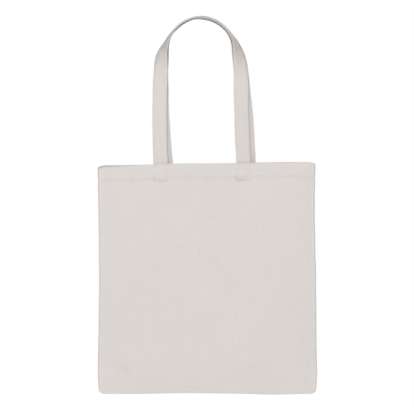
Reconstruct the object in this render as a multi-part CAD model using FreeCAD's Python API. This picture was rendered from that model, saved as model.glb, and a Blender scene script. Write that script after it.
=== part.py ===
"""Flat canvas tote bag, hung by its two handles on one hook.

Two cloth panels are sewn together down both sides and along the bottom, with the seam
allowance turned inside. Each panel's top edge is a turned-in hem, and a strap handle is sewn
to the inside of each hem. Front is -Y, up is +Z, and the origin is where the hook carries the
handles. The cloth is modelled as closed slabs that follow the slack bag.
"""

import FreeCAD, Part
import math
import os

# Bag, in millimetres
bag_width = 381.0  # outside, between the side folds
bag_height = 403.0  # bottom fold to rim
cloth = 0.8  # canvas with its slack, one layer
belly_gap = 11.0  # centre plane to a panel's inner face, low down where the bag is slackest
mouth_gap = 9.0  # the same at the rim
foot_rise = 70.0  # height over which a panel leaves the bottom seam
side_fullness = 6.0  # power of the plan curve: higher keeps the panel flat nearer the sides
bag_shift = 10.4  # bag's middle to the right of the hook, as it hangs

# Seams and hem
seam_allowance = 10.0  # width of the allowance turned inside
seam_thickness = 1.6  # its layers together
overlock = 1.2  # thread wrapped round the allowance's cut edge
hem_depth = 27.0
hem_fold = 1.2  # the turned-in layers behind the panel's own cloth
hem_margin = 2.0  # the hem's line of stitches to its folded edge

# Handles
strap_width = 25.4
strap_thickness = 2.0
leg_spacing = 144.8  # between the middles of a handle's two sewn ends
sewn_length = 30.0  # strap below the rim
front_handle_shift = -8.2  # front handle's middle from the bag's middle, at the rim
back_handle_shift = 0.6
hook_drop = 254.0  # hook to rim
arch_half_width = 70.0  # middle of the strap, where the leg becomes the arch
arch_rise = 92.0
arch_gap = 2.0  # between the two handles, side by side on the hook
twist_start = 107.0  # below the hook, where a leg still faces forward
twist_end = 15.0  # below the hook, where the strap lies flat over it

# Thread
thread = 0.8  # width of a row of stitches
thread_height = 0.3  # how far it stands off the cloth
box_inset = 2.4  # strap edge to the box of stitches that holds it
edge_inset = 2.6  # strap edge to the row along it

# Clearances
body_gap = 0.3  # between pieces that move apart
loop_gap = 1.0  # rim to the start of the free handle
sewn_gap = 0.1  # between a piece and the cloth that it is sewn to

rim = -hook_drop
bottom = rim - bag_height
SIDES = {"front": -1, "back": 1}
SHIFTS = {"front": front_handle_shift, "back": back_handle_shift}
LEGS = {"left": -1, "right": 1}


def smooth(value, start, end):
    """0 before start, 1 after end, and an S-curve between them."""
    part = min(max((value - start) / (end - start), 0.0), 1.0)
    return part * part * (3 - 2 * part)


def depth(x, height):
    """Centre plane to a panel's inner face, x from the bag's middle, height above the bottom.
    The turned-in hem keeps the panels further apart at the side seams."""
    hem_edge = bag_height - hem_depth
    at_seam = seam_thickness / 2 + body_gap + hem_fold * smooth(height, hem_edge - hem_depth, hem_edge)
    across = 1 - abs(2 * x / bag_width) ** side_fullness
    upward = math.sin(math.pi / 2 * min(height / foot_rise, 1.0))
    slack = belly_gap + (mouth_gap - belly_gap) * height / bag_height
    return at_seam + (slack - at_seam) * across * upward


def cloth_slab(side, x_from, x_to, outline):
    """A solid that follows a panel. outline is a closed run of (height, offset) corners, where
    offset counts outwards from the panel's inner face. Sections across X are lofted."""
    station_gap = 24.0
    point_gap = 15.0
    count = max(2, math.ceil((x_to - x_from) / station_gap))
    reach = bag_width / 2
    ends = [math.asin(x / reach) for x in (x_from, x_to)]
    sections = []
    for n in range(count + 1):
        x = reach * math.sin(ends[0] + (ends[1] - ends[0]) * n / count)

        def corner(height, offset):
            y = side * (depth(x, height) + offset)
            return FreeCAD.Vector(bag_shift + x, y, bottom + height)

        edges = []
        for (low, near), (high, far) in zip(outline, outline[1:] + outline[:1]):
            if low == high:
                edges.append(Part.makeLine(corner(low, near), corner(high, far)))
                continue
            steps = max(2, math.ceil(abs(high - low) / point_gap))
            run = [corner(low + (high - low) * k / steps, near) for k in range(steps + 1)]
            curve = Part.BSplineCurve()
            curve.interpolate(run)
            edges.append(curve.toShape())
        sections.append(Part.Wire(edges))
    return Part.makeLoft(sections, True, False)


def slab(side, x_from, x_to, height_from, height_to, near, far):
    """A plain rectangle of cloth_slab, between two heights and two offsets."""
    corners = [(height_from, far), (height_to, far), (height_to, near), (height_from, near)]
    return cloth_slab(side, x_from, x_to, corners)


def stitches(side, x_from, x_to, height_from, height_to):
    """A row of stitches on the outside of a panel."""
    near = cloth + sewn_gap
    return slab(side, x_from, x_to, height_from, height_to, near, near + thread_height)


def leg_middle(face, leg):
    """Middle of a sewn strap end, from the bag's middle."""
    return SHIFTS[face] + LEGS[leg] * leg_spacing / 2


def strap_place(face, way):
    """Middle of the strap at way, from -1 at the left rim through 0 over the hook to 1 at the
    right rim: half an ellipse on two nearly straight legs."""
    leg = math.copysign(1, way)
    along = abs(way)
    arch_y = (strap_width + arch_gap) / 2
    rim_x = SHIFTS[face] + leg * leg_spacing / 2
    behind_hem = hem_fold + sewn_gap + strap_thickness / 2 + body_gap
    rim_y = depth(rim_x, bag_height) - behind_hem
    crown = strap_thickness / 2
    if along <= 0.5:
        angle = math.pi * along
        x = leg * arch_half_width * math.sin(angle)
        z = crown - arch_rise * (1 - math.cos(angle))
    else:
        down = 2 * along - 1
        foot = crown - arch_rise
        x = leg * arch_half_width * (1 - down) + (bag_shift + rim_x) * down
        z = foot + (rim + loop_gap - foot) * down
    lean = min((z - rim) / (hook_drop - twist_end), 1.0)
    return FreeCAD.Vector(x, SIDES[face] * (rim_y + (arch_y - rim_y) * lean), z)


def strap_band(face, across_from, across_to, lift_from, lift_to, reach=1.0):
    """A band along the free handle: across counts from the strap's middle towards its inner
    edge, lift from its middle towards the face that shows at the rim. The strap turns a quarter
    round its own length between each leg and the arch."""
    steps = 32
    probe = 0.001
    out = FreeCAD.Vector(0, SIDES[face], 0)
    sections = []
    for n in range(-steps, steps + 1):
        way = reach * n / steps
        middle = strap_place(face, way)
        ahead = strap_place(face, min(way + probe, 1.0))
        along = (ahead - strap_place(face, max(way - probe, -1.0))).normalize()
        if abs(n) == steps:
            along = FreeCAD.Vector(0, 0, -math.copysign(1, n))
        inward = FreeCAD.Vector(along.z, 0, -along.x).normalize()
        outward = (out - along * out.dot(along)).normalize()
        turn = math.pi / 2 * smooth(middle.z, -twist_start, -twist_end)
        width = inward * math.cos(turn) + outward * math.sin(turn)
        normal = outward * math.cos(turn) - inward * math.sin(turn)
        corners = [
            middle + width * across + normal * lift
            for across, lift in (
                (across_from, lift_from),
                (across_to, lift_from),
                (across_to, lift_to),
                (across_from, lift_to),
            )
        ]
        sections.append(Part.makePolygon(corners + corners[:1]))
    return Part.makeLoft(sections, True, False)


def make_panel(face):
    """One cloth panel from the bottom fold to the rim, with its hem turned inside."""
    hem_edge = bag_height - hem_depth
    outline = [
        (0.0, cloth),
        (bag_height, cloth),
        (bag_height, -hem_fold),
        (hem_edge, -hem_fold),
        (hem_edge, 0.0),
        (0.0, 0.0),
    ]
    return cloth_slab(SIDES[face], -bag_width / 2, bag_width / 2, outline)


def make_hem_stitching(face):
    """The row of stitches that holds the hem, on the outside of the panel."""
    half = bag_width / 2
    low = bag_height - hem_depth + hem_margin
    return stitches(SIDES[face], -half, half, low, low + thread)


def make_strap_end(face, leg):
    """The handle's end below the rim, flat against the inside of the hem."""
    x_from = leg_middle(face, leg) - strap_width / 2
    x_to = x_from + strap_width
    far = -hem_fold - sewn_gap
    near = far - strap_thickness
    return slab(SIDES[face], x_from, x_to, bag_height - sewn_length, bag_height, near, far)


def make_box_stitch(face, leg):
    """The box of stitches through the hem and the strap end, as it shows on the outside. Its
    sides stop above the hem's own row, which closes the box."""
    side = SIDES[face]
    left = leg_middle(face, leg) - strap_width / 2 + box_inset
    right = leg_middle(face, leg) + strap_width / 2 - box_inset
    top = bag_height - box_inset
    foot = bag_height - hem_depth + hem_margin + thread
    return Part.makeCompound(
        [
            stitches(side, left, right, top - thread, top),
            stitches(side, left, left + thread, foot, top - thread),
            stitches(side, right - thread, right, foot, top - thread),
        ]
    )


def make_handle(face):
    """The free loop of a handle, from rim to rim."""
    half = strap_width / 2
    thick = strap_thickness / 2
    return strap_band(face, -half, half, -thick, thick)


def make_handle_stitching(face):
    """Two rows along the free handle, which hold its folded cloth together."""
    edge = strap_width / 2 - edge_inset
    low = strap_thickness / 2 + sewn_gap
    high = low + thread_height
    reach = 0.97
    rows = [(edge - thread, edge), (-edge, thread - edge)]
    return Part.makeCompound([strap_band(face, a, b, low, high, reach) for a, b in rows])


def make_seams():
    """The allowances inside the bag, and the thread wrapped round their cut edges."""
    half = bag_width / 2
    inner = half - seam_allowance
    tall = bag_height - seam_allowance
    low = bottom + seam_allowance

    def strip(x, z, wide, high):
        corner = FreeCAD.Vector(bag_shift + x, -seam_thickness / 2, z)
        return Part.makeBox(wide, seam_thickness, high, corner)

    between = 2 * (inner - overlock)
    return {
        "bottom_seam": strip(-half, bottom, bag_width, seam_allowance),
        "left_side_seam": strip(-half, low, seam_allowance, tall),
        "right_side_seam": strip(inner, low, seam_allowance, tall),
        "bottom_seam_overlock": strip(overlock - inner, low, between, overlock),
        "left_seam_overlock": strip(-inner, low, overlock, tall),
        "right_seam_overlock": strip(inner - overlock, low, overlock, tall),
    }


parts = make_seams()
for face in SIDES:
    parts[f"{face}_panel"] = make_panel(face)
    parts[f"{face}_hem_stitching"] = make_hem_stitching(face)
    for leg in LEGS:
        parts[f"{face}_{leg}_strap_end"] = make_strap_end(face, leg)
        parts[f"{face}_{leg}_box_stitch"] = make_box_stitch(face, leg)
    parts[f"{face}_handle"] = make_handle(face)
    parts[f"{face}_handle_stitching"] = make_handle_stitching(face)

os.makedirs("parts", exist_ok=True)
for node, shape in parts.items():
    if not shape.isValid():
        raise ValueError(f"{node} isn't a valid shape")
    shape.exportStep(f"parts/{node}.step")
    print(f"{node}: {len(shape.Solids)} solids, {shape.Volume / 1000:.2f} cm3")
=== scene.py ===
"""Flat canvas tote bag, hung by its two handles from one hook. Front is -Y, up is +Z, in metres."""

import bmesh
import bpy
import numpy as np
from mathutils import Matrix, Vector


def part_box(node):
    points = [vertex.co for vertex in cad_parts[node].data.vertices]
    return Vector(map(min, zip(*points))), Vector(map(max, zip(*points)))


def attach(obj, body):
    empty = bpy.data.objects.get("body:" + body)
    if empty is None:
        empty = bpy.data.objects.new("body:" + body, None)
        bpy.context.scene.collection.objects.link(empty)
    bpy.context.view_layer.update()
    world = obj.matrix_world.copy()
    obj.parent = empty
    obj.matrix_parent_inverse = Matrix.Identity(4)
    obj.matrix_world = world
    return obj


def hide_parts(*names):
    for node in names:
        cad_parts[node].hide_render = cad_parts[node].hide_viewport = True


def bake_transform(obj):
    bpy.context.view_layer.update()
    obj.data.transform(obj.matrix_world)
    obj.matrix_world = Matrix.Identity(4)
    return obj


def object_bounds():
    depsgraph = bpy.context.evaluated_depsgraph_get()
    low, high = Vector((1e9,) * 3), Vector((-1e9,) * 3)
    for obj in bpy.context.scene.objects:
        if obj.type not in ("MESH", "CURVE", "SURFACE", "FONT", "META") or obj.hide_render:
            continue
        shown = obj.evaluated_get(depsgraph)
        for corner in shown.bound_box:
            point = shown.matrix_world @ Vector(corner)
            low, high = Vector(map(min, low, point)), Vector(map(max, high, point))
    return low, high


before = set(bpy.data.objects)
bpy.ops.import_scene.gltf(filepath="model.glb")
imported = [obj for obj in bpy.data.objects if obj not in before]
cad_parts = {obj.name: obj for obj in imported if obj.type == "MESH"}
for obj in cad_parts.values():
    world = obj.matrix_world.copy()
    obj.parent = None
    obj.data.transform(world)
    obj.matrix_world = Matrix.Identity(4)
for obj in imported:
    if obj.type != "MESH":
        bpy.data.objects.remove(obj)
cad_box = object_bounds()
faces_of_bag = {"front": -1, "back": 1}

# The two panels. Each is a rectangle of unbleached cotton canvas in plain weave, with the top
# edge folded inside and stitched down as a hem. They hang slack from the handles, so they belly
# apart by a few millimetres and dent a little in the bottom corners.

panel_low, panel_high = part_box("front_panel")
width = panel_high.x - panel_low.x
tall = panel_high.z - panel_low.z
middle_x = (panel_high.x + panel_low.x) / 2
bottom = panel_low.z
rim = panel_high.z
slack_gap = 0.011  # bag's middle plane to a panel's inner face, low down
rim_gap = 0.009  # the same at the rim
seam_gap = 0.0011  # the same at the side seams
hem_spread = 0.0012  # what the hem's extra layers add there
foot_rise = 0.07  # height over which a panel leaves the bottom seam
face_stand = 0.0008  # inner face to outer face
fold_gap = 0.00012  # middle plane to the face where it meets the other panel
fold_roll = 0.0022  # how far in from a fold the face rolls over
hem_depth = 0.027
hem_layers = 0.0020
one_layer = 0.00074
hem_line = tall - hem_depth
hem_row_height = hem_line + 0.0024
canvas_colour = (0.71, 0.67, 0.643)


def smooth(value, start, end):
    """0 before start, 1 after end, and an S-curve between them."""
    part = np.clip((value - start) / (end - start), 0, 1)
    return part * part * (3 - 2 * part)


def eased(value, places, amounts, reach):
    """A smooth line past the amounts at these places: a mean in which each amount counts by a
    bell curve of its distance, reach wide."""
    near = np.exp(-(((np.asarray(value)[..., None] - np.array(places)) / reach) ** 2))
    return (near * np.array(amounts)).sum(-1) / near.sum(-1)


def hump(value, place, reach):
    """A bell curve, 1 high, round a place."""
    return np.exp(-(((value - place) / reach) ** 2))


def slack_depth(across, height):
    """From the bag's middle plane to a panel's inner face. It is the seam's own thickness at
    the folds, and swells to the slack: a sixth power across and a quarter sine up from the
    bottom. The hem's extra layers hold the panels further apart at the sides."""
    hem_share = smooth(height, hem_line - hem_depth, hem_line)
    at_seam = seam_gap + hem_spread * hem_share
    swell = 1 - np.abs(2 * across / width - 1) ** 6
    upward = np.sin(np.pi / 2 * np.clip(height / foot_rise, 0, 1))
    slack = slack_gap + (rim_gap - slack_gap) * height / tall
    return at_seam + (slack - at_seam) * np.clip(swell, 0, 1) * upward


# Handles are sewn on this far from the bag's middle, left and right.
handle_middles = {
    face: {
        leg: sum(corner.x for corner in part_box(f"{face}_{leg}_strap_end")) / 2 - middle_x
        for leg in ("left", "right")
    }
    for face in faces_of_bag
}
strap_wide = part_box("front_left_strap_end")[1].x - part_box("front_left_strap_end")[0].x

# Slow waves in the hanging cloth: height and length of each in millimetres, its heading in
# degrees, and where it starts.
cloth_waves = {
    "front": ((0.55, 150, 80, 0.6), (0.40, 95, 62, 2.2), (0.30, 84, 112, 4.1), (0.22, 58, 20, 1.0)),
    "back": ((0.60, 135, 98, 3.4), (0.42, 88, 70, 0.9), (0.28, 73, 121, 5.2), (0.22, 61, 35, 2.6)),
}
# Soft dents, in millimetres: across from the middle, height, half width, half height, depth.
cloth_dents = {
    "front": (
        (-172, 56, 12, 17, 4.4),
        (-154, 40, 14, 14, 3.7),
        (-134, 27, 16, 11, 3.0),
        (172, 46, 12, 34, 1.2),
        (140, 20, 26, 12, 0.6),
        (-150, 350, 22, 14, 0.7),
        (120, 352, 40, 12, 0.5),
    ),
    "back": (
        (158, 34, 14, 28, 1.3),
        (-165, 52, 12, 30, 1.2),
        (20, 24, 60, 12, 0.6),
        (60, 350, 40, 14, 0.6),
    ),
}


def cloth_lift(face, across, height):
    """What the hanging cloth adds to a panel's depth, worked out in millimetres: slow waves and
    dents, the groove along the hem's stitches with a soft ridge above it, and the print of the
    strap ends through the hem. All of it fades out at the seams. A strap's cut end is a little
    aslant, with a shallow hollow below it."""
    x = (across - width / 2) * 1000
    z = height * 1000
    steady = np.clip(1 - np.abs(2 * across / width - 1) ** 6, 0, 1)
    steady = steady ** (1 + 2 * smooth(height, 0.05, 0.15)) * smooth(height, 0.004, 0.05)
    lift = np.zeros(np.broadcast(across, height).shape)
    for size, length, heading, start in cloth_waves[face]:
        run = x * np.sin(np.radians(heading)) + z * np.cos(np.radians(heading))
        lift = lift + size * np.sin(2 * np.pi * run / length + start)
    lift = lift * (1 - 0.6 * smooth(height, tall - 0.05, tall - 0.02))
    for place_x, place_z, reach_x, reach_z, deep in cloth_dents[face]:
        lift = lift - deep * hump(x, place_x, reach_x) * hump(z, place_z, reach_z)
    from_row = z - 1000 * hem_row_height
    lift = lift - 0.28 * hump(from_row, 0, 1.9) + 0.16 * hump(from_row, 6, 4)
    for middle in handle_middles[face].values():
        beside = x - middle * 1000
        over_strap = 1 - smooth(np.abs(beside), 11.4, 14.0)
        strap_foot = 1000 * tall - 29.2 + 0.09 * np.sign(middle) * beside
        lift = lift + 1.1 * over_strap * smooth(z, strap_foot - 0.9, strap_foot + 0.9)
        lift = lift - 0.5 * over_strap * hump(z, strap_foot - 2.2, 1.8)
    return lift / 1000 * steady


# The outline as it hangs: how far the cloth strays from a true rectangle, in millimetres.
outline_heights = (0, 20, 45, 80, 130, 200, 260, 310, 345, 366, 385, 403)
outline_left = (2.4, -0.6, -0.6, 0.2, 1.1, 1.8, 1.5, 0.7, 0.2, 0.0, -1.2, -0.6)
outline_right = (-0.4, 3.2, 2.5, 1.7, 1.5, 0.9, -0.3, -1.3, -1.5, -0.9, 0.1, 0.0)
outline_across = (0, 12, 40, 75, 110, 150, 200, 250, 300, 345, 368, 381)
outline_bottom = (0.0, -0.4, -0.2, -0.4, 0.5, 1.1, 0.5, -0.1, -1.6, -1.2, -0.1, 0.0)
outline_rim = {
    "front": (-4.9, -4.7, -4.4, -2.4, -0.2, 0.4, 0.4, 1.1, 2.6, 3.2, 3.0, 2.6),
    "back": (-2.9, -2.5, -2.5, -1.6, -0.5, 0.0, 0.2, 0.9, 2.2, 2.8, 2.6, 2.3),
}
side_reach = 22
level_reach = 28
bottom_corner = 0.0088
rim_corner = 0.0036


def as_it_hangs(face, across, height):
    """Where a point of the flat cloth hangs, as x and z. The corners turn round as a square
    does when it is squeezed into a disc, and each edge strays from its straight line by the
    amounts above, shared out across the cloth. The hem's folded edge draws both sides in a
    little, and the rim drops at both its ends."""
    from_side = np.minimum(across, width - across)
    corner = np.where(height < tall / 2, bottom_corner, rim_corner)
    sideways = np.clip(1 - from_side / corner, 0, 1)
    updown = np.clip(1 - np.minimum(height, tall - height) / corner, 0, 1)
    inward = corner * sideways * (1 - np.sqrt(1 - updown**2 / 2))
    upward = corner * updown * (1 - np.sqrt(1 - sideways**2 / 2))
    flat_x = across + np.where(across < width / 2, inward, -inward)
    flat_z = height + np.where(height < tall / 2, upward, -upward)
    left = eased(flat_z * 1000, outline_heights, outline_left, side_reach) / 1000
    right = eased(flat_z * 1000, outline_heights, outline_right, side_reach) / 1000
    pinch = 0.0009 * hump(flat_z, hem_line + 0.001, 0.0035)
    left = left + pinch
    right = right - pinch
    low = eased(flat_x * 1000, outline_across, outline_bottom, level_reach) / 1000
    high = eased(flat_x * 1000, outline_across, outline_rim[face], level_reach) / 1000
    high = high - 0.0022 * hump(flat_x, 0, 0.008) - 0.0020 * hump(flat_x, width, 0.007)
    share_x = flat_x / width
    share_z = flat_z / tall
    x = middle_x - width / 2 + flat_x + left * (1 - share_x) + right * share_x
    z = bottom + flat_z + low * (1 - share_z) + high * share_z
    return x, z


def panel_face(face, across, height, lift=0.0):
    """A panel's outer face. across counts from the left fold and height from the bottom fold,
    both along the flat cloth, and lift stands a thing off the face. At the folds the face
    rolls over in a quarter ellipse to meet the other panel."""
    across, height = np.broadcast_arrays(np.asarray(across, float), np.asarray(height, float))
    x, z = as_it_hangs(face, across, height)
    from_side = np.minimum(across, width - across)
    roll = np.sqrt(1 - (1 - np.clip(from_side / fold_roll, 0, 1)) ** 2)
    roll = roll * np.sqrt(1 - (1 - np.clip(height / fold_roll, 0, 1)) ** 2)
    stand = slack_depth(across, height) + face_stand + cloth_lift(face, across, height)
    y = faces_of_bag[face] * (fold_gap + (stand - fold_gap) * roll + lift)
    return np.stack([x, y, z], -1)


def grid_faces(rows, columns, looped=False, turned=False):
    """Four-sided faces over a grid of points. A looped grid's last column joins its first."""
    row, column = np.meshgrid(
        np.arange(rows - 1), np.arange(columns if looped else columns - 1), indexing="ij"
    )
    beside = (column + 1) % columns
    corners = [
        row * columns + column,
        row * columns + beside,
        (row + 1) * columns + beside,
        (row + 1) * columns + column,
    ]
    quads = np.stack(corners, -1).reshape(-1, 4)
    return quads[:, ::-1] if turned else quads


def make_piece(name, points, faces, weave, material):
    """A smooth mesh. weave gives each point's place on the flat cloth or along the thread, in
    metres, and becomes the UV map that the material's weave follows."""
    mesh = bpy.data.meshes.new(name)
    mesh.from_pydata(points.reshape(-1, 3).tolist(), [], [list(map(int, f)) for f in faces])
    mesh.polygons.foreach_set("use_smooth", np.ones(len(mesh.polygons), bool))
    corners = np.zeros(len(mesh.loops), np.int32)
    mesh.loops.foreach_get("vertex_index", corners)
    flat = mesh.uv_layers.new(name="flat_cloth")
    flat.uv.foreach_set("vector", weave.reshape(-1, 2)[corners].astype(np.float32).ravel())
    mesh.materials.append(material)
    mesh.update()
    piece = bpy.data.objects.new(name, mesh)
    bpy.context.scene.collection.objects.link(piece)
    return piece


def mark(piece, name, amounts):
    """Keeps one number for each point of the mesh, for its material to read."""
    layer = piece.data.attributes.new(name, "FLOAT", "POINT")
    layer.data.foreach_set("value", np.asarray(amounts, np.float32).ravel())


def thicken(piece, thickness, offset, group=""):
    """Gives a sheet its thickness and rounds its edges. Both stay live, so that the cloth keeps
    its thickness however the sheet bends."""
    wall = piece.modifiers.new("thickness", "SOLIDIFY")
    wall.thickness = thickness
    wall.offset = offset
    wall.vertex_group = group
    soften = piece.modifiers.new("soft_edges", "SUBSURF")
    soften.levels = 1
    soften.render_levels = 1


class Wire:
    """One output of a material's nodes. Arithmetic on it adds Math nodes, and add makes any
    other node."""

    def __init__(self, tree, socket=None):
        self.tree = tree
        self.socket = socket

    def add(self, kind, inputs=(), output=0, **settings):
        """A node of that kind. Its settings come first, then each input gets a number, a colour
        or another wire."""
        node = self.tree.nodes.new("ShaderNode" + kind)
        for setting, value in settings.items():
            setattr(node, setting, value)
        for name, value in dict(inputs).items():
            if isinstance(value, Wire):
                self.tree.links.new(value.socket, node.inputs[name])
            else:
                node.inputs[name].default_value = value
        return Wire(self.tree, node.outputs[output])

    def maths(self, operation, *values):
        """A Math node on these values, in the same tree as this wire."""
        return self.add("Math", enumerate(values), operation=operation)

    def __add__(self, other):
        return self.maths("ADD", self, other)

    def __sub__(self, other):
        return self.maths("SUBTRACT", self, other)

    def __rsub__(self, other):
        return self.maths("SUBTRACT", other, self)

    def __mul__(self, other):
        return self.maths("MULTIPLY", self, other)

    __radd__ = __add__

    def mix(self, other, share):
        """This colour and another, by share of the other."""
        return self.add("Mix", {0: share, 6: self, 7: other}, output=2, data_type="RGBA")

    def tinted(self, strength):
        """This colour, brightened or darkened by a number."""
        grey = self.add("CombineColor", {0: strength, 1: strength, 2: strength})
        return self.add(
            "Mix", {0: 1.0, 6: self, 7: grey}, output=2, data_type="RGBA", blend_type="MULTIPLY"
        )


def plain_weave(nodes, u, v, pitch):
    """Height of a plain weave, 0 to 1. Each thread is a sine ridge across its own width, and
    rides over and under the others in turn, as the product of the two sines rises and falls."""
    by_u = nodes.maths("SINE", u * (np.pi / pitch))
    by_v = nodes.maths("SINE", v * (np.pi / pitch))
    over = by_u * by_v * 0.45
    upright = nodes.maths("ABSOLUTE", by_u) * 0.55 + over
    level = nodes.maths("ABSOLUTE", by_v) * 0.55 - over
    return nodes.maths("MAXIMUM", upright, level)


def canvas_finish(name, colour, pitch, slub=1.0):
    """Unbleached cotton in plain weave: threads of uneven thickness and tone, small flecks of
    seed, faint clouding over the cloth, painted shade in the weave's hollows, a paler nap where
    folds and edges rub with a painted highlight where the mesh marks it, painted shade wherever
    the mesh marks it, and puckers along the stitches. slub says how uneven the threads are."""
    material = bpy.data.materials.new(name)
    material.use_nodes = True
    shader = material.node_tree.nodes["Principled BSDF"]
    nodes = Wire(material.node_tree)
    flat = nodes.add("UVMap", uv_map="flat_cloth")
    place = nodes.add("TexCoord", output=3)
    u = nodes.add("SeparateXYZ", {0: flat})
    v = Wire(nodes.tree, u.socket.node.outputs[1])

    drift = nodes.add("TexNoise", {"Vector": place, "Scale": 45.0, "Detail": 2.0}) - 0.5
    u_line = u + drift * 0.0016
    v_line = v + drift * 0.0012
    weave = plain_weave(nodes, u_line, v_line, pitch)

    def threads(fine_u, fine_v, seed):
        """Noise drawn out along one set of threads, so that each thread has its own shade."""
        stretched = nodes.add("CombineXYZ", {0: u_line * fine_u, 1: v_line * fine_v, 2: seed})
        return nodes.add("TexNoise", {"Vector": stretched, "Scale": 1.0, "Detail": 2.5})

    upright = threads(1 / pitch, 26.0, 1.7)
    level = threads(30.0, 1 / pitch, 8.3)
    uneven = (upright + level) * 0.5 - 0.5
    cloud = nodes.add("TexNoise", {"Vector": place, "Scale": 9.0, "Detail": 3.0}) - 0.5
    fleck_noise = nodes.add("TexNoise", {"Vector": place, "Scale": 620.0, "Detail": 1.0})
    fleck_patch = nodes.add("TexNoise", {"Vector": place, "Scale": 60.0, "Detail": 1.0})
    fleck_level = fleck_noise + fleck_patch * 0.22
    flecks = nodes.add(
        "MapRange", {"Value": fleck_level, "From Min": 0.852, "From Max": 0.90}, clamp=True
    )
    wear_and_highlight = nodes.add("Attribute", output=2, attribute_name="wear_and_highlight")
    painted_shade = nodes.add("Attribute", output=2, attribute_name="painted_shade")
    puckered = nodes.add("Attribute", output=2, attribute_name="puckered")

    base = nodes.add("RGB")
    base.socket.default_value = (*colour, 1)
    # Painted shade: the weave's low places are a little darker, as shade between the threads.
    strength = 0.960 + weave * 0.065 + uneven * (0.20 * slub) + cloud * 0.05
    # Painted shade where the mesh marks it, up to 30% darker; a paler nap where the mesh marks
    # wear, part of which is a painted highlight.
    strength = strength + wear_and_highlight * 0.035 - painted_shade * 0.30
    seed_brown = nodes.add("RGB")
    seed_brown.socket.default_value = (0.34, 0.27, 0.19, 1)
    tone = base.tinted(strength).mix(seed_brown, flecks * 0.5)
    nodes.tree.links.new(tone.socket, shader.inputs["Base Color"])

    rough = 0.93 - weave * 0.08 + uneven * 0.15
    nodes.tree.links.new(rough.socket, shader.inputs["Roughness"])
    shader.inputs["Specular IOR Level"].default_value = 0.22
    shader.inputs["Sheen Weight"].default_value = 0.10
    shader.inputs["Sheen Roughness"].default_value = 0.5

    pucker = nodes.add("TexNoise", {"Vector": place, "Scale": 210.0, "Detail": 1.0})
    crease = nodes.add("TexNoise", {"Vector": place, "Scale": 38.0, "Detail": 3.0})
    relief = weave * 0.13 + uneven * 0.34 + pucker * puckered * 1.1 + crease * 0.9
    bump = nodes.add("Bump", {"Height": relief, "Strength": 1.0, "Distance": 0.001})
    nodes.tree.links.new(bump.socket, shader.inputs["Normal"])
    return material


def stations(length, edges, step):
    """Places along a length: these distances in from each end, and even steps between them."""
    edges = np.array(edges)
    inner = np.arange(edges[-1], length - edges[-1], step)[1:]
    return np.unique(np.concatenate([edges, inner, length - edges]))


canvas = canvas_finish("canvas", canvas_colour, 0.00072)
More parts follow.
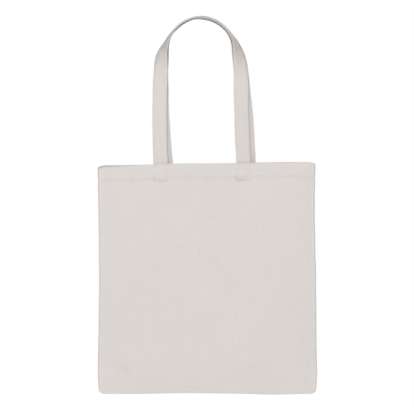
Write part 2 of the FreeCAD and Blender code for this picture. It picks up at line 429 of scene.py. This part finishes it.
# The grid is finest where the face rolls over at the folds, beside the hem's folded edge, and
# beside the straps that print through the hem.
fold_columns = (0, 0.00015, 0.0005, 0.0011, 0.0022, 0.0042, 0.0075)
column_step = 0.0047
strap_columns = (-0.0136, -0.0118, 0.0118, 0.0136)
column_gap = 0.0013  # an even column nearer than this to one of those is left out
fold_rows = (0, 0.00015, 0.0005, 0.0011, 0.0022, 0.0045, 0.008, 0.0125)
open_rows = np.linspace(0.0175, hem_line - 0.0115, 68)
hem_rows = np.array(
    (-7.5, -5.8, -4.6, -3.4, -2.2, -0.6, 0.6, 2.6, 5.5, 10.0, 15.0, 19.8, 23.5, 25.8)
)
height = np.concatenate([fold_rows, open_rows, hem_line + hem_rows / 1000, [tall]])
for face, side in faces_of_bag.items():
    strap_edges = [
        width / 2 + middle + edge
        for middle in handle_middles[face].values()
        for edge in strap_columns
    ]
    across = stations(width, fold_columns, column_step)
    clear = np.abs(across[:, None] - strap_edges).min(1) > column_gap
    across = np.sort(np.concatenate([across[clear], strap_edges]))
    grid_x, grid_z = np.meshgrid(across, height)
    points = panel_face(face, grid_x, grid_z)
    quads = grid_faces(len(height), len(across), turned=side > 0)
    panel = make_piece(
        f"{face}_cloth", points, quads, np.stack([grid_x, grid_z], -1), canvas
    )
    from_side = np.minimum(grid_x, width - grid_x)
    # Paler nap where the folds rub.
    folds = hump(from_side, 0, 0.0018) + hump(grid_z, 0, 0.0018) + hump(grid_z, tall, 0.0012)
    # Painted highlight: a pale line about 4.6 mm in from each side fold.
    folds = folds + 0.8 * hump(from_side, 0.0046, 0.0013)
    mark(panel, "wear_and_highlight", np.clip(folds, 0, 1))
    # Painted shade, darker in colour: along the groove of the hem's row of stitches, in a line
    # under each strap's end and down its left side, along the side folds, and along the rim, most
    # near the left corner.
    hem_row = grid_z - hem_row_height
    painted_shade = 0.22 * hump(hem_row, -0.0008, 0.0013) * np.ones_like(grid_x)
    for middle in handle_middles[face].values():
        beside = grid_x - width / 2 - middle
        inner = -np.sign(middle) * beside
        under = 1 - smooth(np.abs(beside), 0.011, 0.0136)
        strap_foot = tall - 0.0296 - 0.09 * inner
        deepest = 0.35 + 0.65 * smooth(inner, -0.012, 0.004)
        painted_shade = painted_shade + 0.42 * under * deepest * hump(grid_z, strap_foot, 0.0018)
        strap_side_shade = hump(beside, -0.0122, 0.0012) * smooth(grid_z, tall - 0.031, tall - 0.028)
        painted_shade = painted_shade + 0.4 * strap_side_shade * (1 - smooth(grid_z, tall - 0.026, tall - 0.016))
    painted_shade = painted_shade + 0.5 * hump(from_side, 0, 0.0016) * smooth(grid_z, 0, 0.01)
    painted_shade = painted_shade + (0.8 * hump(grid_x, 0.006, 0.034) + 0.1) * hump(grid_z, tall, 0.0013)
    mark(panel, "painted_shade", np.clip(painted_shade, 0, 1))
    drawn = hump(hem_row, 0.001, 0.006) + hump(from_side, 0, 0.006) + hump(grid_z, 0, 0.006)
    mark(panel, "puckered", np.clip(drawn, 0, 1))
    layers = panel.vertex_groups.new(name="layers")
    in_hem = grid_z.ravel() > hem_line
    layers.add(np.flatnonzero(in_hem).tolist(), 1.0, "REPLACE")
    layers.add(np.flatnonzero(~in_hem).tolist(), one_layer / hem_layers, "REPLACE")
    thicken(panel, hem_layers, -1, "layers")
    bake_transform(panel)
    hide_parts(f"{face}_panel")

# The seams inside the bag. The two panels' edges lie together as a 10 mm allowance down both
# sides and along the bottom, and their cut edges are wrapped with overlock thread so that the
# canvas doesn't fray.

thread_colour = (0.78, 0.74, 0.70)
seam_outer = 0.0003  # the allowance starts this far in from the fold
seam_inner = 0.0100  # and ends this far in
seam_half_thick = 0.00079
seam_step = 0.004
overlock_near = 0.0079  # the thread's nearest point to the fold
overlock_wide = 0.00231  # from there over the cut edge
overlock_half_thick = 0.00108
overlock_slant = 0.0007
overlock_radius = 0.0002
overlock_step = 0.0026


def thread_finish(name, colour):
    """Twisted cotton thread: a fine slanting ply with painted shade in its grooves, soft and matt.
    """
    material = bpy.data.materials.new(name)
    material.use_nodes = True
    shader = material.node_tree.nodes["Principled BSDF"]
    nodes = Wire(material.node_tree)
    along = nodes.add("SeparateXYZ", {0: nodes.add("UVMap", uv_map="flat_cloth")})
    crosswise = Wire(nodes.tree, along.socket.node.outputs[1])
    slant = (along + crosswise * 0.9) * (2 * np.pi / 0.00055)
    ply = nodes.maths("SINE", slant) * 0.5 + 0.5
    place = nodes.add("TexCoord", output=3)
    shade = nodes.add("TexNoise", {"Vector": place, "Scale": 160.0, "Detail": 2.0}) - 0.5
    base = nodes.add("RGB")
    base.socket.default_value = (*colour, 1)
    # Painted shade: the grooves between the plies are a little darker.
    tone = base.tinted(0.93 + ply * 0.09 + shade * 0.12)
    nodes.tree.links.new(tone.socket, shader.inputs["Base Color"])
    nodes.tree.links.new((0.82 - ply * 0.12).socket, shader.inputs["Roughness"])
    shader.inputs["Specular IOR Level"].default_value = 0.3
    shader.inputs["Sheen Weight"].default_value = 0.08
    bump = nodes.add("Bump", {"Height": ply, "Strength": 0.6, "Distance": 0.00012})
    nodes.tree.links.new(bump.socket, shader.inputs["Normal"])
    return material


thread = thread_finish("thread", thread_colour)


def outwards(piece):
    """Turns the faces of every closed shell outwards."""
    shell = bmesh.new()
    shell.from_mesh(piece.data)
    bmesh.ops.recalc_face_normals(shell, faces=shell.faces)
    shell.to_mesh(piece.data)
    shell.free()


def beside_edge(edge, deep, along):
    """x and z of a point that is deep in from the left, right or bottom fold, and along it."""
    deep, along = np.broadcast_arrays(deep, along)
    if edge == "bottom":
        return as_it_hangs("front", along, deep)
    return as_it_hangs("front", deep if edge == "left" else width - deep, along)


def allowance(edge, node, start, end):
    """Two layers of cloth along a fold. The cross-section is a flat loop, thin where it goes
    out between the panels' edges and drawn in between the layers at the cut edge, and it
    wavers a little along its length."""
    turn = np.linspace(0, 2 * np.pi, 20, endpoint=False)
    deep = seam_outer + (0.5 - 0.5 * np.cos(turn)) * (seam_inner - seam_outer)
    layers = seam_half_thick * np.sign(np.sin(turn)) * np.abs(np.sin(turn)) ** 0.25
    layers = layers * (0.12 + 0.88 * smooth(deep, 0.0010, 0.0018))
    along = np.linspace(start, end, int((end - start) / seam_step))[:, None]
    waver = 0.00022 * np.sin(along * 190) + 0.00014 * np.sin(along * 463 + 1)
    deep = deep - 0.0005 * hump(turn, np.pi, 0.12) + waver * (deep / seam_inner)
    x, z = beside_edge(edge, deep, along)
    y = layers + 0.00006 * np.sin(along * 121) * (deep / seam_inner)
    points = np.stack([x, y, z], -1)
    count = len(turn)
    total = count * len(along)
    ends = [list(range(count)), list(range(total - count, total))]
    quads = grid_faces(len(along), count, looped=True).tolist()
    weave = np.stack([deep + 0.4, along + 0 * deep], -1)
    strip = make_piece(f"{edge}_seam_allowance", points, quads + ends, weave, canvas)
    outwards(strip)
    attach(strip, "seams")
    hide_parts(node)


def overlock(edge, node, start, end):
    """Loops of thread over the seam's cut edge. Each crosses one face of the allowance on the
    slant and comes back on the other: a flattened ring through the strip, with a round section
    carried along it."""
    stations_round = 13
    sides = 5
    ring = np.linspace(0, 2 * np.pi, stations_round, endpoint=False)
    line = np.stack(
        [
            overlock_near + overlock_wide * (1 - np.cos(ring)) / 2,
            overlock_half_thick * np.sign(np.sin(ring)) * np.abs(np.sin(ring)) ** 0.4,
            overlock_slant * np.cos(ring),
        ],
        -1,
    )
    ahead = np.roll(line, -1, 0) - np.roll(line, 1, 0)
    ahead /= np.linalg.norm(ahead, axis=1, keepdims=True)
    first = np.cross(ahead, (0, 0, 1))
    first /= np.linalg.norm(first, axis=1, keepdims=True)
    second = np.cross(ahead, first)
    turn = np.linspace(0, 2 * np.pi, sides, endpoint=False)[None, :, None]
    round_line = first[:, None] * np.cos(turn) + second[:, None] * np.sin(turn)
    loop = (line[:, None] + overlock_radius * round_line).reshape(-1, 3)
    places = np.arange(start, end, overlock_step)
    stray = 0.00025 * np.sin(places * 2900) + 0.0002 * np.sin(places * 1777)
    deep = loop[None, :, 0] + stray[:, None]
    along = places[:, None] + loop[None, :, 2]
    x, z = beside_edge(edge, deep, along)
    points = np.stack([x, loop[:, 1] + 0 * deep, z], -1)
    closed = grid_faces(stations_round + 1, sides, looped=True) % len(loop)
    starts = np.arange(len(places)) * len(loop)
    quads = (closed[None] + starts[:, None, None]).reshape(-1, 4)
    run, across = np.divmod(np.arange(len(loop)), sides)
    weave = np.tile(np.stack([run * 0.0007, across * 0.00025], -1), (len(places), 1))
    piece = make_piece(f"{edge}_overlock", points, quads, weave, thread)
    outwards(piece)
    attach(piece, "seams")
    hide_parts(node)


overlock_late = 0.010  # the overlock starts this much further along than the allowance
overlock_short = 0.003  # and ends this much sooner
# Where each seam starts and ends along its fold. The side seams stand on the bottom one.
seam_ends = {
    "left": (0.0105, tall - 0.0044),
    "right": (0.0105, tall - 0.0044),
    "bottom": (0.0022, width - 0.0022),
}
for edge, (start, end) in seam_ends.items():
    node = "bottom_seam" if edge == "bottom" else f"{edge}_side_seam"
    allowance(edge, node, start, end)
    overlock(edge, f"{edge}_seam_overlock", start + overlock_late, end - overlock_short)

# The hem's stitching. One row of lockstitch a little above the hem's folded edge, through all
# its layers, shows outside and inside. Each stitch is about 3 mm of thread, sunk in the cloth.

stitch_pitch = 0.0031
stitch_length = 0.0027
stitch_wide = 0.00062
stitch_thick = 0.00052
stitch_stand = 0.00016  # a stitch's middle above the cloth outside
inner_stand = 0.00012  # the same inside


def stitch_row(start, end):
    """Middles and directions of the stitches along a straight line on the flat cloth."""
    start = np.array(start)
    end = np.array(end)
    length = np.linalg.norm(end - start)
    count = max(1, int(round(length / stitch_pitch)))
    share = (np.arange(count) + 0.5) / count
    middles = start + (end - start) * share[:, None]
    return middles, np.broadcast_to((end - start) / length, middles.shape)


def stitching(name, rows, place):
    """Stitches as short strips laid on a surface: each is four points long and two wide on the
    flat cloth, narrower at its ends, and place carries them to the surface. Thickness and
    rounding come after, so a stitch keeps its shape when the cloth moves."""
    middles = np.concatenate([row[0] for row in rows])
    ahead = np.concatenate([row[1] for row in rows])
    beside = np.stack([-ahead[:, 1], ahead[:, 0]], -1)
    run = np.array(((-0.5, -0.3, 0.3, 0.5),) * 2) * stitch_length
    half = np.array(((-0.28, -0.5, -0.5, -0.28), (0.28, 0.5, 0.5, 0.28))) * stitch_wide
    flat = (
        middles[:, None, None]
        + ahead[:, None, None] * run[None, ..., None]
        + beside[:, None, None] * half[None, ..., None]
    )
    points = place(flat[..., 0], flat[..., 1])
    count = len(middles)
    quads = (grid_faces(2, 4)[None] + (np.arange(count) * 8)[:, None, None]).reshape(-1, 4)
    weave = np.tile(np.stack([run, half], -1), (count, 1, 1, 1))
    piece = make_piece(name, points, quads, weave, thread)
    thicken(piece, stitch_thick, 0)
    return piece


row_inset = 0.0016  # a fold to the end of the hem's row
for face, side in faces_of_bag.items():
    row = stitch_row((row_inset, hem_row_height), (width - row_inset, hem_row_height))
    for name, lift in (
        ("hem_stitches", stitch_stand),
        ("hem_inner_stitches", -hem_layers - inner_stand),
    ):
        piece = stitching(
            f"{face}_{name}",
            [row],
            lambda x, z, face=face, lift=lift: panel_face(face, x, z, lift),
        )
        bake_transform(piece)
    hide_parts(f"{face}_hem_stitching")

# The handles. Each is one strap of the same canvas, folded lengthways to four layers and sewn
# along both edges. Both ends go down inside the hem. Each strap leaves the rim facing forward
# and turns a quarter round its own length, so that it lies flat over the hook beside the other.

strap_colour = (0.695, 0.655, 0.628)
strap_thick = 0.0020
sewn_length = 0.030
behind_hem = 0.00235  # a panel's inner face to the middle of the strap, at the rim
crown_lift = 0.0018  # how much higher the arch lies than the plain solid's
arch_half = 0.070
arch_rise = 0.092
# How far each strap has turned over by the arch, left and right of the hook, in degrees.
arch_turns = {"front": (84, 81), "back": (97, 83)}
# The heights between which a strap turns over.
turn_starts = {"front": -0.125, "back": -0.094}
turn_end = -0.015
lean_rise = 0.239  # from the rim to there, while a strap leans to its place on the hook
# How far each leg bows out of a straight line between hook and rim.
leg_bows = {
    "front": {"left": -0.0021, "right": -0.0012},
    "back": {"left": -0.0022, "right": 0.0024},
}


class Strap:
    """A strap's middle line from one sewn end over the hook to the other, with the directions
    of its width and of its face all along. The arch is half an ellipse, a little fuller at its
    shoulders and drawn in below the right one, each leg is nearly straight, and the turn is an
    S-curve of the height."""

    def __init__(self, face):
        side = faces_of_bag[face]
        low, high = (np.array(corner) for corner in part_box(f"{face}_handle"))
        top = high[2] - strap_thick / 2 + crown_lift
        arch_y = max(abs(low[1]), abs(high[1])) - strap_wide / 2
        angle = np.linspace(-np.pi / 2, np.pi / 2, 240)
        z = top - arch_rise * (1 - np.cos(angle))
        x = arch_half * np.sin(angle)
        from_hook = np.clip(np.abs(x) / 0.03, 0, 1)
        x = x + np.where(x > 0, 0.0007, -0.0006) * hump(z, -0.033, 0.028) * from_hook
        x = x - np.where(x > 0, 0.0014, 0) * hump(z, -0.058, 0.022)
        down = np.linspace(0, 1, 160)[1:]
        below = np.linspace(0, sewn_length, 30)[1:]
        legs = {}
        for leg, sign in (("left", -1), ("right", 1)):
            foot = middle_x + handle_middles[face][leg]
            bow = leg_bows[face][leg] * np.sin(np.pi * down) ** 0.8
            leg_x = sign * arch_half * (1 - down) + foot * down + bow
            leg_z = top - arch_rise + (rim - top + arch_rise) * down
            legs[leg] = (
                np.concatenate([leg_x, np.full(len(below), foot)]),
                np.concatenate([leg_z, rim - below]),
            )
        x = np.concatenate([legs["left"][0][::-1], x, legs["right"][0]])
        z = np.concatenate([legs["left"][1][::-1], z, legs["right"][1]])
        rim_y = slack_depth(np.clip(x - middle_x + width / 2, 0, width), tall) - behind_hem
        lean = np.clip((z - rim) / lean_rise, 0, 1)
        y = side * (rim_y + (arch_y - rim_y) * lean)
        line = np.stack([x, y, z], -1)
        gone = np.concatenate([[0], np.cumsum(np.linalg.norm(np.diff(line, axis=0), axis=1))])
        self.length = gone[-1]
        self.along = np.linspace(0, self.length, 900)
        line = np.stack([np.interp(self.along, gone, line[:, n]) for n in range(3)], -1)
        # The corners where leg and arch meet are smoothed by a moving mean, weighted by a bell.
        reach = 24
        bell = hump(np.arange(-reach, reach + 1), 0, 11)
        bell /= bell.sum()
        before = 2 * line[0] - line[reach:0:-1]
        after = 2 * line[-1] - line[-2 : -reach - 2 : -1]
        padded = np.concatenate([before, line, after])
        line = np.stack([np.convolve(padded[:, n], bell, "valid") for n in range(3)], -1)
        ahead = np.gradient(line, axis=0)
        ahead /= np.linalg.norm(ahead, axis=1, keepdims=True)
        inward = np.stack([ahead[:, 2], 0 * ahead[:, 0], -ahead[:, 0]], -1)
        inward /= np.linalg.norm(inward, axis=1, keepdims=True)
        outward = np.array((0, side, 0)) - ahead * (side * ahead[:, 1:2])
        outward /= np.linalg.norm(outward, axis=1, keepdims=True)
        left_turn, right_turn = arch_turns[face]
        full_turn = left_turn + (right_turn - left_turn) * smooth(line[:, 0], -0.025, 0.015)
        turn = np.radians(full_turn * smooth(line[:, 2], turn_starts[face], turn_end))[:, None]
        self.line = line
        self.wide = inward * np.cos(turn) + outward * np.sin(turn)
        self.out = outward * np.cos(turn) - inward * np.sin(turn)

    def place(self, along, across, lift):
        """A point on the strap: along its length, across from its middle towards its inner
        edge, and lift off its middle towards the face that shows at the rim. The strap cups a
        little across its width."""

        def at(values):
            return np.stack([np.interp(along, self.along, values[:, n]) for n in range(3)], -1)

        cup = -0.00035 * (across / (strap_wide / 2)) ** 2
        return (
            at(self.line)
            + at(self.wide) * np.asarray(across)[..., None]
            + at(self.out) * np.asarray(lift + cup)[..., None]
        )


strap_canvas = canvas_finish("strap_canvas", strap_colour, 0.00068, 0.8)
edge_row = 0.0101  # the strap's middle to the row of stitches along each edge
strap_lines = {}
for face, side in faces_of_bag.items():
    strap = Strap(face)
    strap_lines[face] = strap
    turn = np.linspace(0, 2 * np.pi, 36, endpoint=False)
    across = strap_wide / 2 * np.sign(np.sin(turn)) * np.abs(np.sin(turn)) ** 0.75
    half = strap_thick / 2 * np.clip(1 - np.abs(across / (strap_wide / 2)) ** 7, 0, 1) ** 0.5
    half = half - 0.00016 * hump(np.abs(across), edge_row, 0.0008)
    lift = half * np.sign(np.cos(turn))
    between = np.linspace(0.0016, strap.length - 0.0016, 320)
    along = np.concatenate([[0, 0.0004], between, [strap.length - 0.0004, strap.length]])
    # The cut ends are pressed thinner.
    squeeze = np.ones(len(along))
    squeeze[[0, -1]] = 0.55
    squeeze[[1, -2]] = 0.9
    grid_along = along[:, None] + 0 * across
    uneven = 1 + 0.010 * np.sin(along * 83 + side) + 0.006 * np.sin(along * 211)
    grid_across = across * (squeeze**0.1 * uneven)[:, None]
    ripple = 0.00012 * np.sin(along * 140 + 2 * side) + 0.00008 * np.sin(along * 333)
    grid_lift = lift * squeeze[:, None] + ripple[:, None]
    points = strap.place(grid_along, grid_across, grid_lift)
    count = len(turn)
    total = len(along) * count
    ends = [list(range(count)), list(range(total - count, total))[::-1]]
    quads = grid_faces(len(along), count, looped=True).tolist()
    # The strap's two faces are different parts of the cloth.
    weave = np.stack([across + np.where(lift < 0, 0.05, 0.0) + 0 * grid_along, grid_along], -1)
    piece = make_piece(f"{face}_strap", points, quads + ends, weave, strap_canvas)
    outwards(piece)
    # Paler nap where the strap's edges rub.
    mark(piece, "wear_and_highlight", hump(np.abs(grid_across), strap_wide / 2, 0.0012))
    # Painted shade, darker in colour: on the arch's underside, along the outer edge where the strap
    # turns over, and along the rows of edge stitches.
    up = np.interp(grid_along, strap.along, strap.line[:, 2])
    arch_underside_shade = 0.9 * (grid_lift < 0) * smooth(up, -0.060, -0.025)
    turned = 0.6 * hump(grid_across, -strap_wide / 2, 0.0035) * smooth(up, -0.115, -0.060)
    row = 0.12 * hump(np.abs(grid_across), edge_row, 0.0007)
    mark(piece, "painted_shade", np.clip(arch_underside_shade + turned + row, 0, 1))
    mark(piece, "puckered", 0.3 * hump(np.abs(grid_across), edge_row, 0.003))
    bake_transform(piece)
    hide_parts(f"{face}_handle", f"{face}_left_strap_end", f"{face}_right_strap_end")

# The stitching along the straps. A row of lockstitch near each edge holds the folded cloth
# together, through all four layers, and shows on both faces.

row_start = sewn_length + 0.004  # the rows start a little above the rim
edge_stand = 0.00004  # a stitch's middle off the strap's face
for face, strap in strap_lines.items():
    rows = [
        stitch_row((across, row_start), (across, strap.length - row_start))
        for across in (-edge_row, edge_row)
    ]
    for name, way in (("edge_stitches", 1), ("edge_inner_stitches", -1)):
        stand = way * (strap_thick / 2 + edge_stand)
        piece = stitching(
            f"{face}_strap_{name}",
            rows,
            lambda across, along, strap=strap, stand=stand: strap.place(along, across, stand),
        )
        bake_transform(piece)
    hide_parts(f"{face}_handle_stitching")

# The boxes of stitches that hold the strap ends to the hem: across the top, and down each
# side to the hem's own row.

box_inset = 0.0028
box_foot = hem_row_height + 0.001
box_top = tall - box_inset
for face, middles in handle_middles.items():
    for leg, middle in middles.items():
        left = width / 2 + middle - strap_wide / 2 + box_inset
        right = left + strap_wide - 2 * box_inset
        rows = [
            stitch_row((left, box_foot), (left, box_top)),
            stitch_row((left, box_top), (right, box_top)),
            stitch_row((right, box_top), (right, box_foot)),
        ]
        piece = stitching(
            f"{face}_{leg}_box_stitches",
            rows,
            lambda x, z, face=face: panel_face(face, x, z, stitch_stand),
        )
        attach(piece, f"{face}_panel")
        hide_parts(f"{face}_{leg}_box_stitch")

# Nothing is set here for what each cloth piece was cut from; the loop below does nothing. A
# panel is 381 mm and a 10 mm allowance each side across, and 403 mm, the allowance at the
# bottom, the hem and 10 mm turned under it high. A strap is sewn folded to four layers.

for face in faces_of_bag:
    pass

# The studio: a pale floor below the bag that fades to white, a plain white surround, soft
# lights in front and behind, and the camera straight in front.

room_glow = 0.27
floor_z = bottom - 0.22
floor_half = 9.0
floor_grey = (0.84, 0.84, 0.84, 1)
pure_white = (1, 1, 1, 1)


def shows_background(nodes):
    """1 for a ray that shows the background: straight to the camera, mirrored or through glass."""
    straight = nodes.add("LightPath")
    outputs = straight.socket.node.outputs
    mirrored = Wire(nodes.tree, outputs["Is Glossy Ray"])
    through = Wire(nodes.tree, outputs["Is Transmission Ray"])
    return nodes.maths("MAXIMUM", nodes.maths("MAXIMUM", straight, mirrored), through)


world = bpy.data.worlds.new("studio")
bpy.context.scene.world = world
world.use_nodes = True
for node in list(world.node_tree.nodes):
    world.node_tree.nodes.remove(node)
air = Wire(world.node_tree)
strength = room_glow + shows_background(air) * (1 - room_glow)
glow = air.add("Background", {"Color": pure_white, "Strength": strength})
air.tree.links.new(glow.socket, air.tree.nodes.new("ShaderNodeOutputWorld").inputs["Surface"])

floor_mesh = bpy.data.meshes.new("floor")
corner_signs = ((-1, -1), (1, -1), (1, 1), (-1, 1))
floor_corners = [(x * floor_half, y * floor_half, floor_z) for x, y in corner_signs]
floor_mesh.from_pydata(floor_corners, [], [(0, 1, 2, 3)])
floor = bpy.data.objects.new("floor", floor_mesh)
bpy.context.scene.collection.objects.link(floor)
floor_finish = bpy.data.materials.new("floor")
floor_finish.use_nodes = True
floor_tree = floor_finish.node_tree
ground = Wire(floor_tree)
spot = ground.add("TexCoord", output=3)
reach = ground.add("VectorMath", {0: spot, 1: (0.0, 0.0, floor_z)}, operation="DISTANCE", output=1)
far_off = ground.add(
    "MapRange", {"Value": reach, "From Min": 0.35, "From Max": 1.5}, clamp=True
)
matt = floor_tree.nodes["Principled BSDF"]
matt.inputs["Base Color"].default_value = floor_grey
matt.inputs["Roughness"].default_value = 0.9
white = ground.add("Emission", {"Color": pure_white, "Strength": 1.0})
faded = far_off * shows_background(ground)
fade = ground.add("MixShader", {0: faded, 1: Wire(floor_tree, matt.outputs[0]), 2: white})
floor_tree.links.new(fade.socket, floor_tree.nodes["Material Output"].inputs["Surface"])
floor_mesh.materials.append(floor_finish)


def soft_light(name, place, aim, size, watts):
    """A square panel light at a place, turned towards aim."""
    lamp = bpy.data.lights.new(name, "AREA")
    lamp.size = size
    lamp.energy = watts
    light = bpy.data.objects.new(name, lamp)
    bpy.context.scene.collection.objects.link(light)
    light.location = place
    towards = Vector(aim) - Vector(place)
    light.rotation_euler = towards.to_track_quat("-Z", "Y").to_euler()


bag_middle = (cad_box[0] + cad_box[1]) / 2
soft_light("front_left", (-0.26, -5.7, 1.85), bag_middle, 0.9, 218)
soft_light("low_left", (-0.80, -2.4, -0.62), bag_middle, 0.45, 2.6)
soft_light("behind", (0.9, 2.9, 0.7), bag_middle, 2.0, 78)

lens = bpy.data.cameras.new("camera")
lens.lens = 199.0
lens.sensor_width = 36
lens.clip_end = 60
camera = bpy.data.objects.new("camera", lens)
bpy.context.scene.collection.objects.link(camera)
camera.location = (bag_middle.x + 0.0003, -4.01, bag_middle.z - 0.0026)
camera.rotation_euler = (np.pi / 2, 0, 0)
bpy.context.scene.camera = camera
bpy.context.scene.view_settings.view_transform = "Standard"
